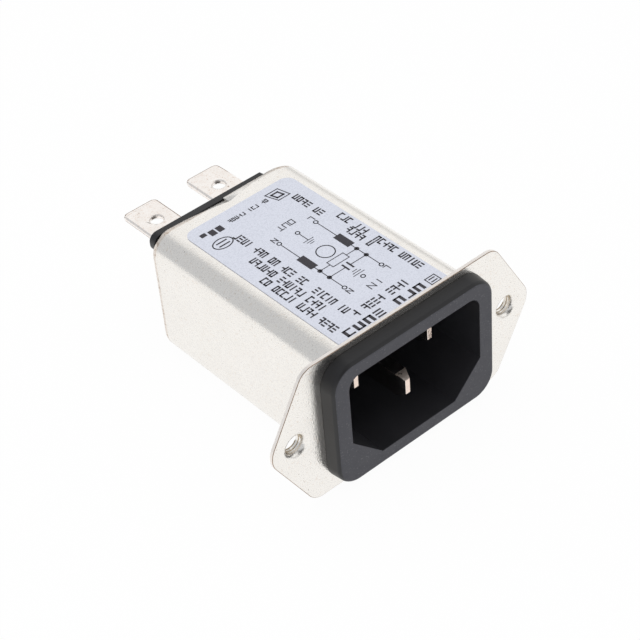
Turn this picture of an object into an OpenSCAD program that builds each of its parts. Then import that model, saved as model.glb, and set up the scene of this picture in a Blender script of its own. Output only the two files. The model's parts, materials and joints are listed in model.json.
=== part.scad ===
// Mains inlet with a built-in line filter.
// Frame: +X right as seen from the socket side, +Y back towards the tabs, +Z up.
// Origin: midway between the two screw holes, on the flange's mounting face.

/* [Flange] */
// Distance between the two screw holes
hole_pitch = 40; // [38:0.5:46]
// Diameter of the two threaded screw holes
hole_d = 2.9; // [2.5:0.05:3.2]
// Radius where the sheet is drawn back into a screw hole
burr_r = 1; // [0.8:0.05:1.05]
// How far a screw hole's drawn collar stands behind the flange
burr_len = 1.3; // [1:0.1:2]
// Wall of a screw hole's drawn collar
burr_wall = 0.45; // [0.35:0.05:0.6]
// Height of the flange above and below the bezel
flange_margin = 1.15; // [0.8:0.05:2]
// Where the flange's straight top edge ends, from the middle
flange_flat_half = 17.8; // [16.5:0.1:19]
// Where the sloping ear edges would meet, beyond each screw hole
ear_reach = 4.8; // [4.2:0.1:7]
// Rounding of the ear tips
ear_r = 3.5; // [2:0.1:3.8]
// Rounding of the flange's top and bottom corners
flange_corner_r = 2.8; // [1:0.1:4]

/* [Can] */
// Thickness of the steel sheet
sheet_t = 0.6; // [0.5:0.05:0.7]
// Outside rounding of the can's long edges
can_r = 3.65; // [3:0.05:4.5]
// Length of the can, from the flange's front face to its rear edge
can_len = 38.8; // [38:0.2:60]
// Radius of the bend where the can turns out into the flange
bend_r = 0.7; // [0.4:0.05:1]
// Bending radius of the rolled rear rim, on its outside
rim_r = 1.8; // [1.2:0.1:1.8]
// How far the rear rim is rolled in, in degrees
rim_angle = 41; // [25:1:45]
// Distance from a crimped lip's outer end to the can's corner rounding
lip_margin = 0.6; // [0.3:0.1:3]
// How far forward of the edge a lip's fold starts, at the slit
lip_depth = 1.8; // [1.4:0.1:2.4]
// How much further the right-hand lips are pressed in, at the slit
lip_drop_right = 0.2; // [0.05:0.05:0.45]
// How much further the left-hand lips are pressed in, at the slit
lip_drop_left = 0.42; // [0.05:0.01:0.45]
// Step left at a lip's fold line by the crimping blade
fold_step = 0.04; // [0.03:0.01:0.1]
// Width of the slit between two lips
slit_w = 0.3; // [0.2:0.05:1]

/* [Inlet] */
// How far the bezel stands in front of the flange
bezel_proj = 2.45; // [2:0.05:4]
// How far the bezel's foot laps past the can's sides
bezel_lap_w = 1.28; // [0.9:0.02:2]
// How far the bezel's foot laps past the can's top and underside
bezel_lap_h = 0.12; // [0.05:0.01:0.8]
// Corner rounding of the bezel where it meets the flange
bezel_r = 3.9; // [3:0.1:5]
// Inward lean of the bezel's sides over its height
bezel_draft = 0.18; // [0.05:0.01:0.3]
// Rounding of the bezel's front edge
bezel_edge_r = 0.6; // [0.3:0.05:0.8]
// Width of the socket's cavity
cavity_w = 24.4; // [24:0.1:24.6]
// Height of the socket's cavity
cavity_h = 16.6; // [16.2:0.1:17]
// Depth of the socket's cavity, from the bezel's front face
cavity_depth = 16; // [15.5:0.1:19]
// Width of the two keying chamfers at the cavity's lower corners
key_w = 5.2; // [4.6:0.1:5.6]
// Height of the two keying chamfers
key_h = 5.1; // [4.6:0.1:5.6]
// Rounding of the cavity's upper corners
cavity_r = 2; // [1:0.1:3]
// Wall of the moulded shroud around the cavity
shroud_wall = 0.8; // [0.6:0.05:0.9]
// Thickness of the moulded base behind the cavity
base_t = 2.5; // [2:0.1:3.5]
// Length of the collar that centres the inlet in the can's mouth
collar_len = 3; // [2:0.1:5]

/* [Pins] */
// Height of a contact pin
pin_h = 4; // [3.9:0.05:4.1]
// Width of a contact pin
pin_w = 2; // [1.9:0.05:2.1]
// Distance between the line and neutral pins
pin_pitch = 14; // [13.8:0.1:14.2]
// Height of the line and neutral pins' middle above the earth pin's
pin_row_gap = 4; // [3.8:0.1:4.2]
// How far the earth pin's tip lies behind the bezel's front face
earth_recess = 2; // [1.5:0.1:3]
// How much shorter the line and neutral pins are than the earth pin
earth_lead = 2.75; // [2:0.05:4]
// Length of a pin's tapered end
pin_taper_len = 1.5; // [1:0.1:2]
// How much each narrow face leans in along the tapered end
pin_taper_h = 0.7; // [0.4:0.05:1]
// How much each wide face leans in along the tapered end
pin_taper_w = 0.59; // [0.2:0.01:0.65]
// Length of the line and neutral pins' tails behind the base
tail_len = 4; // [3:0.1:4.4]
// Thickness of a pin's tail
tail_t = 0.8; // [0.6:0.05:0.9]
// Height of a pin's tail
tail_h = 2; // [1.5:0.1:2.6]

/* [Tabs] */
// Width of a push-on tab
tab_w = 6.3; // [6.2:0.05:6.4]
// Thickness of a push-on tab
tab_t = 0.8; // [0.75:0.01:0.82]
// Distance from a tab's outer edge to the rear plate's side
tab_side = 3.72; // [3:0.02:4.4]
// Distance from a tab's outer face to the rear plate's top or underside
tab_below = 5.3; // [4.6:0.05:6]
// How far a tab stands behind the can's rear edge
tab_len = 13.95; // [12:0.05:16]
// Distance from a tab's end to the middle of its hole
tab_hole_back = 4.65; // [3.5:0.05:5.5]
// Diameter of a tab's hole
tab_hole_d = 2.05; // [1.6:0.05:2.2]
// Rounding of a tab's corners
tab_r = 0.9; // [0.5:0.1:1.4]
// Width of a tab's tail inside the can
tab_tail_w = 3; // [2.4:0.1:4]
// How far a tab's shoulder sits behind the rear plate's inner face
tab_seat = 2; // [1.4:0.1:2.6]
// Length of a tab's tail in front of the rear plate
tab_tail_len = 2.6; // [2:0.1:3]

/* [Rear plate] */
// How far the rear plate stands behind the can's rear edge
plate_proud = 1.24; // [0.8:0.02:2]
// How far the rear plate reaches into the can
plate_depth = 4; // [3.4:0.1:5]
// How far the rear plate's outer part lies inside the can's sides
plate_inset_w = 0.92; // [0.6:0.02:1.2]
// How far the rear plate's outer part lies inside the can's top and underside
plate_inset_h = 0.63; // [0.5:0.01:0.9]
// Corner rounding of the rear plate's outer part
plate_r = 1.4; // [0.8:0.1:2.4]
// Height of the lip along the top of the rear plate's outer part
plate_lip_h = 3.2; // [2.8:0.1:4]
// How far the rear plate's outer part lies inside that lip's ends
plate_waist = 0.6; // [0.2:0.05:1]
// Size of the corner cut that shows which way round the rear plate goes
plate_key = 4; // [3:0.1:5]
// Height of the raised collar round each tab
boss_h = 0.5; // [0.3:0.05:1]
// Width of the raised collar's rim beside the tab
boss_rim = 0.8; // [0.5:0.05:1.2]

/* [Label] */
// Distance from the label's side to the can's corner rounding
label_side = 0.19; // [0.05:0.01:2]
// Distance from the label's rear end to the can's rear edge
label_back = 3.25; // [3:0.05:6]
// Thickness of the label
label_t = 0.1; // [0.05:0.01:0.15]
// Rounding of the label's two rear corners
label_r = 1.7; // [0.5:0.1:3]
// Rounding of the label's two front corners
label_front_r = 0.3; // [0.1:0.1:1.7]

/* [Filter] */
// Outer diameter of the choke's ring core
core_outer_d = 15; // [13:0.1:16]
// Inner diameter of the choke's ring core
core_bore_d = 8; // [7:0.1:9]
// Thickness of the ring core
core_t = 6; // [5:0.1:6.4]
// Wire diameter of the choke's windings
wire_d = 0.8; // [0.6:0.05:0.9]
// Turns in each winding
turns = 9; // [5:1:9]
// Angle that each winding covers
winding_angle = 130; // [110:1:140]
// Thickness of the divider between the windings
divider_t = 1.2; // [0.8:0.1:1.6]
// Gap between the capacitor and the choke
choke_gap = 0.6; // [0.4:0.05:0.8]
// Thickness of the capacitor
capacitor_t = 5; // [4.5:0.1:5.5]
// Height of the capacitor
capacitor_h = 11; // [10:0.1:11.5]
// Height of the capacitor's underside
capacitor_z = -6.5; // [-8:0.1:-6]
// Distance between the capacitor's wires
capacitor_pitch = 10; // [9.5:0.1:10.5]
// Thickness of the capacitor's and the resistor's wires
lead_d = 0.6; // [0.5:0.05:0.7]
// Length of the resistor's body
resistor_len = 6.5; // [6:0.1:7]
// Diameter of the resistor's end caps
resistor_d = 2.3; // [2:0.05:2.5]
// Diameter of the resistor between its end caps
resistor_waist_d = 1.98; // [1.6:0.02:2]
// Length of each of the resistor's end caps
resistor_cap_len = 1.3; // [1:0.1:2]
// Height of the resistor's axis
resistor_z = 7.4; // [7:0.1:8]
// Width of the earth strap
strap_w = 3; // [2.4:0.1:4]
// Thickness of the earth strap
strap_t = 0.5; // [0.4:0.05:0.6]
// Height of the earth strap above the pin's rivet
strap_margin = 0.6; // [0.4:0.1:1]
// How far the earth strap reaches past the tab's tail end
strap_grip = 1.2; // [0.8:0.1:2]
// Height of the rivet's head behind the earth strap
rivet_head = 0.7; // [0.4:0.05:0.8]

/* [Fits] */
// Gap round a pin or a tab in its moulded slot
slot_gap = 0.05; // [0.02:0.01:0.08]
// Gap between the inlet's collar and the can's mouth
collar_gap = 0.1; // [0.05:0.01:0.2]
// Gap between the capacitor and the tail beside it
tail_gap = 0.1; // [0.05:0.01:0.15]
// Gap between the capacitor and the rivet's head
rivet_gap = 0.3; // [0.1:0.05:0.5]
// Gap between the shroud and the can's side walls
shroud_gap_w = 0.27; // [0.2:0.01:1]
// Gap between the shroud and the can's top and bottom walls
shroud_gap_h = 1.13; // [0.6:0.01:1.6]
// Gap between the rear plate and the can's wall
plate_gap = 0.1; // [0.05:0.01:0.12]

/* [Hidden] */
$fn = 64;
// Overlap of joined shapes, and how far a through cut runs past its part
eps = 0.01;
past = 1;

STEEL = [0.83, 0.81, 0.78];
BLACK = [0.13, 0.13, 0.14];
BRASS = [0.80, 0.72, 0.58];
TIN = [0.90, 0.86, 0.83];
PAPER = [0.84, 0.86, 0.91];
FERRITE = [0.25, 0.25, 0.27];
COPPER = [0.72, 0.42, 0.22];
BOX_YELLOW = [0.90, 0.74, 0.25];
BODY_BLUE = [0.45, 0.62, 0.75];

// Places along Y
flange_front = -sheet_t;
can_rear = flange_front + can_len;
bezel_front = flange_front - bezel_proj;
cavity_floor = bezel_front + cavity_depth;
base_rear = cavity_floor + base_t;
plate_rear = can_rear + plate_proud;
plate_front = can_rear - plate_depth;
tab_end = can_rear + tab_len;
tab_start = plate_front - tab_tail_len;

// The can, sized round the inlet's shroud
can_in_w = cavity_w + 2 * (shroud_wall + shroud_gap_w);
can_in_h = cavity_h + 2 * (shroud_wall + shroud_gap_h);
can_in_r = can_r - sheet_t;
can_w = can_in_w + 2 * sheet_t;
can_h = can_in_h + 2 * sheet_t;

// Bezel and flange, sized round the can
bezel_w = can_w + 2 * bezel_lap_w;
bezel_h = can_h + 2 * bezel_lap_h;
flange_h = bezel_h + 2 * flange_margin;

// Rear plate
plate_w = can_w - 2 * plate_inset_w;
plate_h = can_h - 2 * plate_inset_h;
tab_shoulder = plate_front + tab_seat;

// Pins
line_x = pin_pitch / 2;
row_z = pin_row_gap / 2;
earth_z = -pin_row_gap / 2;
earth_tip = bezel_front + earth_recess;
line_tip = earth_tip + earth_lead;
tail_end = base_rear + tail_len;

// Tabs
tab_x = plate_w / 2 - tab_side - tab_w / 2;
tab_mid = plate_h / 2 - tab_below - tab_t / 2;

// Rolled rim and its lips
rim_start = can_rear - rim_r * sin(rim_angle);
rim_drop = rim_r * (1 - cos(rim_angle));
lip_near = slit_w / 2;
lip_len = can_w / 2 - can_r - lip_margin - lip_near;
lip_turn = atan2(lip_depth, lip_len);
fold_lap = 2 * fold_step;
lip_low = max(lip_drop_left, lip_drop_right) + fold_step;
groove_depth = rim_drop + lip_low + sheet_t + plate_gap;

// Label
label_w = can_w - 2 * (can_r + label_side);
label_front = bend_r;
label_rear = can_rear - label_back;

// Earth strap and pin rivet
rivet_len = strap_t + rivet_head;
strap_floor = -can_in_h / 2;
strap_rear = tab_start + strap_grip;

// Filter parts
capacitor_w = pin_pitch - tail_t - 2 * tail_gap;
capacitor_y = base_rear + rivet_len + rivet_gap;
capacitor_top = capacitor_z + capacitor_h;
choke_front = capacitor_y + capacitor_t + choke_gap;
choke_y = choke_front + wire_d + core_t / 2;
winding_rear = choke_y + core_t / 2 + wire_d;
lead_y = base_rear + tail_len / 2;

// Extrudes a flat X-Z outline from y0 back by length.
module along_y(y0, length) {
    translate([0, y0 + length, 0]) rotate([90, 0, 0]) linear_extrude(length) children();
}

// Flat rectangle with round corners, centred.
module round_rect(w, h, r) {
    square([w - 2 * r, h], center = true);
    square([w, h - 2 * r], center = true);
    for (sx = [-1, 1], sz = [-1, 1])
        translate([sx * (w / 2 - r), sz * (h / 2 - r)]) circle(r);
}

// Copies a shape to the left and right halves of the top and the underside.
module on_four_corners() {
    for (sx = [0, 1], sz = [0, 1]) mirror([sx, 0, 0]) mirror([0, 0, sz]) children();
}

// Runs a side profile round a rectangle with round corners.
// The profile's x is the distance out from the corner centres, its y the distance forwards.
module swept_frame(half_w, half_h) {
    on_four_corners() translate([half_w, 0, half_h]) rotate([90, 0, 0])
        rotate_extrude(angle = 90) children();
    for (side = [0, 1]) {
        mirror([0, 0, side]) translate([0, 0, half_h]) rotate([0, -90, 0]) rotate([180, 0, 0])
            linear_extrude(2 * half_w, center = true) children();
        mirror([side, 0, 0]) translate([half_w, 0, 0]) rotate([180, 0, 0])
            linear_extrude(2 * half_h, center = true) children();
    }
}

// Point where a corner's rounding touches the edge from a to b.
function tangent_point(a, b, reach) = a + reach * (b - a) / norm(b - a);

// Flat outline of one quarter of the flange, mirrored to all four.
module flange_outline() {
    tip = [hole_pitch / 2 + ear_reach, 0];
    corner = [flange_flat_half, flange_h / 2];
    slope = atan2(corner[1], tip[0] - corner[0]);
    corner_reach = flange_corner_r * tan(slope / 2);
    corner_in = tangent_point(corner, [0, corner[1]], corner_reach);
    corner_out = tangent_point(corner, tip, corner_reach);
    tip_reach = ear_r / tan(slope);
    tip_in = tangent_point(tip, corner, tip_reach);
    tip_centre = [tip[0] - ear_r / sin(slope), 0];
    for (sx = [0, 1], sz = [0, 1]) mirror([sx, 0]) mirror([0, sz]) {
        polygon([[0, 0], [0, corner[1]], corner_in, corner_out, tip_in, tip_centre]);
        translate([corner_in[0], corner[1] - flange_corner_r]) circle(flange_corner_r);
    }
    for (sx = [-1, 1]) translate([sx * tip_centre[0], 0]) circle(ear_r);
}

// Socket cavity's outline, grown by wall all round.
module cavity_outline(wall) {
    w = cavity_w / 2 + wall;
    h = cavity_h / 2 + wall;
    r = cavity_r + wall;
    key_x = key_w + wall * (1 - tan(22.5));
    key_z = key_h + wall * (1 - tan(22.5));
    polygon([
        [-w, h - r], [-w, key_z - h], [key_x - w, -h], [w - key_x, -h],
        [w, key_z - h], [w, h - r], [w - r, h], [r - w, h]
    ]);
    for (sx = [-1, 1]) translate([sx * (w - r), h - r]) circle(r);
}

// Side section of the rolled rim, about the middle of its bend.
module rim_section() {
    reach = 2 * rim_r;
    intersection() {
        difference() {
            circle(rim_r);
            circle(rim_r - sheet_t);
        }
        polygon([[0, 0], [reach, 0], [reach * cos(rim_angle), -reach * sin(rim_angle)]]);
    }
}

// The can's straight wall and its rolled rear rim.
module can_wall() {
    along_y(flange_front, rim_start - flange_front) difference() {
        round_rect(can_w, can_h, can_r);
        round_rect(can_in_w, can_in_h, can_in_r);
    }
    translate([0, rim_start, 0]) swept_frame(can_w / 2 - can_r, can_h / 2 - can_r)
        translate([can_r - rim_r, 0]) rim_section();
}

// Stretch of the top wall behind a lip's fold line, which slants from the slit to the rim's edge.
module lip_window(lap) {
    depth = rim_drop + sheet_t + past;
    reach = 1 + past / lip_depth;
    translate([lip_near, can_rear - lip_depth - lap, can_h / 2 - depth])
        linear_extrude(depth + past)
            polygon([[0, 0], reach * [lip_len, lip_depth], [0, reach * lip_depth]]);
}

// One lip: that stretch of the wall, folded inwards along its fold line.
module lip(drop) {
    fold = asin(drop / (lip_depth * cos(lip_turn)));
    hinge = [lip_near, can_rear - lip_depth, can_h / 2];
    translate(hinge - [0, 0, fold_step])
        rotate([0, 0, lip_turn]) rotate([-fold, 0, 0]) rotate([0, 0, -lip_turn])
            translate(-hinge) intersection() {
                can_wall();
                lip_window(fold_lap);
            }
}

// Threaded hole's drawn collar, behind the flange.
module screw_collar() {
    rotate([-90, 0, 0]) translate([0, 0, flange_front])
        cylinder(h = burr_len - flange_front, d = hole_d + 2 * burr_wall);
}

// Opening of a screw hole: the thread's bore and its rounded mouth.
module screw_opening() {
    mouth = hole_d / 2 + burr_r;
    rotate([-90, 0, 0]) translate([0, 0, flange_front]) {
        translate([0, 0, -past])
            cylinder(h = burr_len - flange_front + 2 * past, d = hole_d);
        rotate_extrude() difference() {
            translate([0, -eps]) square([mouth, burr_r + eps]);
            translate([mouth, burr_r]) circle(burr_r);
        }
    }
}

// Drawn steel can with its flange, threaded screw holes and rolled, crimped rear rim.
module housing_can() {
    color(STEEL) {
        difference() {
            union() {
                along_y(flange_front, sheet_t) difference() {
                    flange_outline();
                    round_rect(can_in_w, can_in_h, can_in_r);
                }
                can_wall();
                can_bend();
                for (sx = [-1, 1]) translate([sx * hole_pitch / 2, 0, 0]) screw_collar();
            }
            for (sx = [-1, 1]) translate([sx * hole_pitch / 2, 0, 0]) screw_opening();
            on_four_corners() lip_window(0);
            for (side = [0, 1]) mirror([0, 0, side])
                translate([-lip_near, can_rear - lip_depth, 0])
                    cube([slit_w, lip_depth + past, can_h]);
        }
        for (side = [0, 1]) mirror([0, 0, side]) {
            lip(lip_drop_right);
            mirror([1, 0, 0]) lip(lip_drop_left);
        }
    }
}

// Rounded inside corner where the can turns out into the flange.
module can_bend() {
    half_w = can_w / 2 - can_r;
    half_h = can_h / 2 - can_r;
    swept_frame(half_w, half_h) difference() {
        translate([can_r - eps, -bend_r]) square([bend_r + eps, bend_r + eps]);
        translate([can_r + bend_r, -bend_r]) circle(bend_r);
    }
}

// Moulded inlet: bezel, collar, shroud with the keyed cavity, and base.
module inlet_body() {
    half_w = bezel_w / 2 - bezel_r;
    half_h = bezel_h / 2 - bezel_r;
    side_h = bezel_proj - bezel_edge_r;
    edge_x = bezel_r - bezel_draft - bezel_edge_r;
    color(BLACK) difference() {
        union() {
            translate([0, flange_front, 0]) swept_frame(half_w, half_h) {
                union() {
                    polygon([[0, 0], [bezel_r, 0], [bezel_r - bezel_draft, side_h],
                        [edge_x, side_h], [edge_x, bezel_proj], [0, bezel_proj]]);
                    intersection() {
                        translate([edge_x, side_h]) circle(bezel_edge_r);
                        translate([0, side_h]) square([bezel_r, bezel_edge_r + eps]);
                    }
                }
            }
            translate([-half_w, bezel_front, -half_h])
                cube([2 * half_w, bezel_proj, 2 * half_h]);
            along_y(flange_front - eps, collar_len + eps) round_rect(
                can_in_w - 2 * collar_gap, can_in_h - 2 * collar_gap, can_in_r - collar_gap);
            along_y(flange_front, base_rear - flange_front) cavity_outline(shroud_wall);
        }
        along_y(bezel_front - past, cavity_depth + past) cavity_outline(0);
        for (sx = [-1, 1])
            pin_slot(sx * line_x, row_z);
        pin_slot(0, earth_z);
    }
}

// Slot through the inlet's base for one pin.
module pin_slot(x, z) {
    translate([x, 0, z]) along_y(cavity_floor - past, base_t + 2 * past)
        square([pin_w + 2 * slot_gap, pin_h + 2 * slot_gap], center = true);
}

// Contact pin with a tapered end, running back to the base's rear face.
module pin_blade(x, z, tip) {
    len = base_rear - tip;
    translate([x, tip, z]) intersection() {
        translate([0, 0, -pin_h / 2]) linear_extrude(pin_h) polygon([
            [pin_taper_w - pin_w / 2, 0], [pin_w / 2 - pin_taper_w, 0],
            [pin_w / 2, pin_taper_len], [pin_w / 2, len], [-pin_w / 2, len],
            [-pin_w / 2, pin_taper_len]
        ]);
        rotate([0, -90, 0]) linear_extrude(pin_w, center = true) polygon([
            [pin_taper_h - pin_h / 2, 0], [pin_h / 2 - pin_taper_h, 0],
            [pin_h / 2, pin_taper_len], [pin_h / 2, len], [-pin_h / 2, len],
            [-pin_h / 2, pin_taper_len]
        ]);
    }
}

// Line or neutral pin with its flat solder tail.
module live_pin(x) {
    color(BRASS) {
        pin_blade(x, row_z, line_tip);
        translate([x, 0, row_z]) along_y(base_rear - eps, tail_len + eps)
            square([tail_t, tail_h], center = true);
    }
}

module line_pin() {
    live_pin(line_x);
}

module neutral_pin() {
    live_pin(-line_x);
}

// Earth pin, with a short square end riveted through the earth strap.
module earth_pin() {
    color(BRASS) {
        pin_blade(0, earth_z, earth_tip);
        translate([0, 0, earth_z]) along_y(base_rear - eps, rivet_len + eps)
            square([tail_t, tail_h], center = true);
    }
}

// Outline of the rear plate's outer part: a lip along its top, and one corner cut off.
module plate_outline() {
    cut = sqrt(2) * plate_key;
    difference() {
        union() {
            round_rect(plate_w - 2 * plate_waist, plate_h, plate_r);
            translate([0, plate_h / 2 - plate_lip_h / 2]) round_rect(plate_w, plate_lip_h, plate_r);
        }
        translate([plate_w / 2, plate_h / 2]) rotate([0, 0, 45]) square([cut, cut], center = true);
    }
}

// Moulded plate that closes the can: a plug with a neck inside the rim, and an outer part behind it.
module rear_plate() {
    slack = 2 * plate_gap;
    neck = 2 * rim_drop + slack;
    neck_start = rim_start - plate_gap;
    groove_half = lip_near + lip_len + plate_gap;
    groove_start = can_rear - lip_depth - plate_gap;
    color(BLACK) difference() {
        union() {
            along_y(plate_front, neck_start - plate_front)
                round_rect(can_in_w - slack, can_in_h - slack, can_in_r - plate_gap);
            along_y(neck_start - eps, can_rear - neck_start + 2 * eps)
                round_rect(can_in_w - neck, can_in_h - neck, can_in_r - neck / 2);
            along_y(can_rear, plate_proud) plate_outline();
            for (sx = [-1, 1])
                tab_collar(sx * tab_x, tab_mid);
            tab_collar(0, -tab_mid);
        }
        for (side = [0, 1]) mirror([0, 0, side])
            translate([-groove_half, groove_start, can_h / 2 - groove_depth])
                cube([2 * groove_half, can_rear - groove_start, groove_depth]);
        for (sx = [-1, 1])
            tab_slot(sx * tab_x, tab_mid);
        tab_slot(0, -tab_mid);
    }
}

// Raised collar round one tab on the plate's outer face.
module tab_collar(x, z) {
    translate([x, 0, z]) along_y(plate_rear - eps, boss_h + eps)
        round_rect(tab_w + 2 * boss_rim, tab_t + 2 * boss_rim, boss_rim / 2);
}

// Slot for one tab: full width outside, and the tail's width inside.
module tab_slot(x, z) {
    translate([x, 0, z]) {
        along_y(tab_shoulder, plate_rear + boss_h + past - tab_shoulder)
            square([tab_w + 2 * slot_gap, tab_t + 2 * slot_gap], center = true);
        along_y(plate_front - past, past + tab_seat + eps)
            square([tab_tail_w + 2 * slot_gap, tab_t + 2 * slot_gap], center = true);
    }
}

// Push-on tab with a shoulder seated inside the plate and a narrow tail.
module tab(x, z) {
    end = tab_end - tab_r;
    color(TIN) translate([x, 0, z - tab_t / 2]) linear_extrude(tab_t) difference() {
        union() {
            translate([-tab_w / 2, tab_shoulder]) square([tab_w, end - tab_shoulder]);
            translate([tab_r - tab_w / 2, tab_shoulder])
                square([tab_w - 2 * tab_r, tab_end - tab_shoulder]);
            for (sx = [-1, 1]) translate([sx * (tab_w / 2 - tab_r), end]) circle(tab_r);
            translate([-tab_tail_w / 2, tab_start])
                square([tab_tail_w, tab_shoulder + eps - tab_start]);
        }
        translate([0, tab_end - tab_hole_back]) circle(d = tab_hole_d);
    }
}

module line_tab() {
    tab(tab_x, tab_mid);
}

module neutral_tab() {
    tab(-tab_x, tab_mid);
}

module earth_tab() {
    tab(0, -tab_mid);
}

// Printed label on the can's top face, cut square where it meets the flange's bend.
module label() {
    len = label_rear - label_front;
    color(PAPER) translate([0, label_front, can_h / 2]) linear_extrude(label_t) {
        translate([0, len / 2]) round_rect(label_w, len, label_r);
        translate([0, len / 4]) round_rect(label_w, len / 2, label_front_r);
    }
}

// Ring core of the two-winding choke.
module choke_core() {
    color(FERRITE) translate([0, choke_y, 0]) rotate([90, 0, 0]) difference() {
        cylinder(h = core_t, d = core_outer_d, center = true);
        cylinder(h = core_t + past, d = core_bore_d, center = true);
    }
}

// One winding: a layer over the core, and a ridge for each turn of wire.
module winding(middle) {
    outer = core_outer_d / 2;
    inner = core_bore_d / 2;
    skin = wire_d / 2;
    step = winding_angle / turns;
    color(COPPER) translate([0, choke_y, 0]) rotate([90, 0, 0]) {
        rotate([0, 0, middle - winding_angle / 2]) rotate_extrude(angle = winding_angle)
            difference() {
                translate([inner - skin, -core_t / 2 - skin])
                    square([outer - inner + 2 * skin, core_t + 2 * skin]);
                translate([inner, -core_t / 2]) square([outer - inner, core_t]);
            }
        for (i = [0 : turns - 1]) rotate([0, 0, middle - winding_angle / 2 + (i + 0.5) * step])
            rotate([90, 0, 0]) linear_extrude(wire_d / 2, center = true) difference() {
                translate([inner - wire_d, -core_t / 2 - wire_d])
                    square([outer - inner + 2 * wire_d, core_t + 2 * wire_d]);
                translate([inner - skin / 2, -core_t / 2 - skin / 2])
                    square([outer - inner + skin, core_t + skin]);
            }
    }
}

module line_winding() {
    winding(0);
}

module neutral_winding() {
    winding(180);
}

// Plastic strip across the core's bore that keeps the windings apart.
module winding_divider() {
    h = 2 * sqrt(pow(core_bore_d / 2, 2) - pow(divider_t / 2, 2)) - 2 * slot_gap;
    color("ivory") translate([-divider_t / 2, choke_y - core_t / 2, -h / 2])
        cube([divider_t, core_t, h]);
}

// Box film capacitor across line and neutral.
module x_capacitor() {
    color(BOX_YELLOW) translate([-capacitor_w / 2, capacitor_y, capacitor_z])
        cube([capacitor_w, capacitor_t, capacitor_h]);
}

// Round wire along X from x0 to x1.
module wire_x(x0, x1, y, z, d) {
    translate([x0, y, z]) rotate([0, 90, 0]) cylinder(h = x1 - x0, d = d);
}

// Round wire along Y from y0 to y1.
module wire_y(x, y0, y1, z, d) {
    translate([x, y0, z]) rotate([-90, 0, 0]) cylinder(h = y1 - y0, d = d);
}

// Round wire along Z from z0 to z1.
module wire_z(x, y, z0, z1, d) {
    translate([x, y, z0]) cylinder(h = z1 - z0, d = d);
}

// The capacitor's two wires: up, across, and down onto the pins' tails.
module capacitor_leads() {
    top = capacitor_top + 2 * lead_d;
    foot = row_z + tail_h / 2;
    y = capacitor_y + lead_d;
    color(TIN) for (side = [0, 1]) mirror([side, 0, 0]) {
        wire_z(capacitor_pitch / 2, y, capacitor_top, top + lead_d / 2, lead_d);
        wire_x(capacitor_pitch / 2 - lead_d / 2, line_x + lead_d / 2, y, top, lead_d);
        wire_z(line_x, y, foot, top + lead_d / 2, lead_d);
    }
}

// Bleed resistor, lying above the capacitor.
module bleed_resistor() {
    half = resistor_len / 2;
    y = tail_end - lead_d;
    color(BODY_BLUE) {
        wire_x(-half, half, y, resistor_z, resistor_waist_d);
        for (side = [0, 1]) mirror([side, 0, 0])
            wire_x(half - resistor_cap_len, half, y, resistor_z, resistor_d);
    }
}

// The resistor's two wires: out, and down onto the pins' tails.
module resistor_leads() {
    foot = row_z + tail_h / 2;
    y = tail_end - lead_d;
    color(TIN) for (side = [0, 1]) mirror([side, 0, 0]) {
        wire_x(resistor_len / 2, line_x + lead_d / 2, y, resistor_z, lead_d);
        wire_z(line_x, y, foot, resistor_z + lead_d / 2, lead_d);
    }
}

// Winding's start, soldered beside the pin's tail.
module lead_in(side) {
    color(COPPER) wire_y(side * (line_x + tail_t / 2 + wire_d / 2), lead_y,
        choke_front, row_z, wire_d);
}

// Winding's end, soldered under the tab's tail.
module lead_out(side) {
    color(COPPER) wire_y(side * tab_x, winding_rear, tab_start + tab_tail_len / 2,
        tab_mid - tab_t / 2 - wire_d / 2, wire_d);
}

module line_lead_in() {
    lead_in(1);
}

module neutral_lead_in() {
    lead_in(-1);
}

module line_lead_out() {
    lead_out(1);
}

module neutral_lead_out() {
    lead_out(-1);
}

// Earth strap: riveted to the pin, welded along the can's floor, and soldered to the tab.
module earth_strap() {
    front = base_rear;
    top = earth_z + tail_h / 2 + strap_margin;
    color(TIN) difference() {
        union() {
            translate([-strap_w / 2, front, strap_floor])
                cube([strap_w, strap_t, top - strap_floor]);
            translate([-strap_w / 2, front, strap_floor])
                cube([strap_w, strap_rear - front, strap_t]);
            translate([-strap_w / 2, strap_rear - strap_t, strap_floor])
                cube([strap_w, strap_t, -tab_mid - tab_t / 2 - strap_floor]);
        }
        translate([0, 0, earth_z]) along_y(front - past, strap_t + 2 * past)
            square([tail_t, tail_h], center = true);
    }
}

housing_can();
inlet_body();
line_pin();
neutral_pin();
earth_pin();
rear_plate();
line_tab();
neutral_tab();
earth_tab();
label();
choke_core();
line_winding();
neutral_winding();
winding_divider();
x_capacitor();
capacitor_leads();
bleed_resistor();
resistor_leads();
line_lead_in();
neutral_lead_in();
line_lead_out();
neutral_lead_out();
earth_strap();
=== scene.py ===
"""Looks of the mains inlet with a built-in line filter: finishes, printed label, floor, light and camera."""

import json
import math

import bmesh
import bpy
from mathutils import Matrix, Vector


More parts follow.
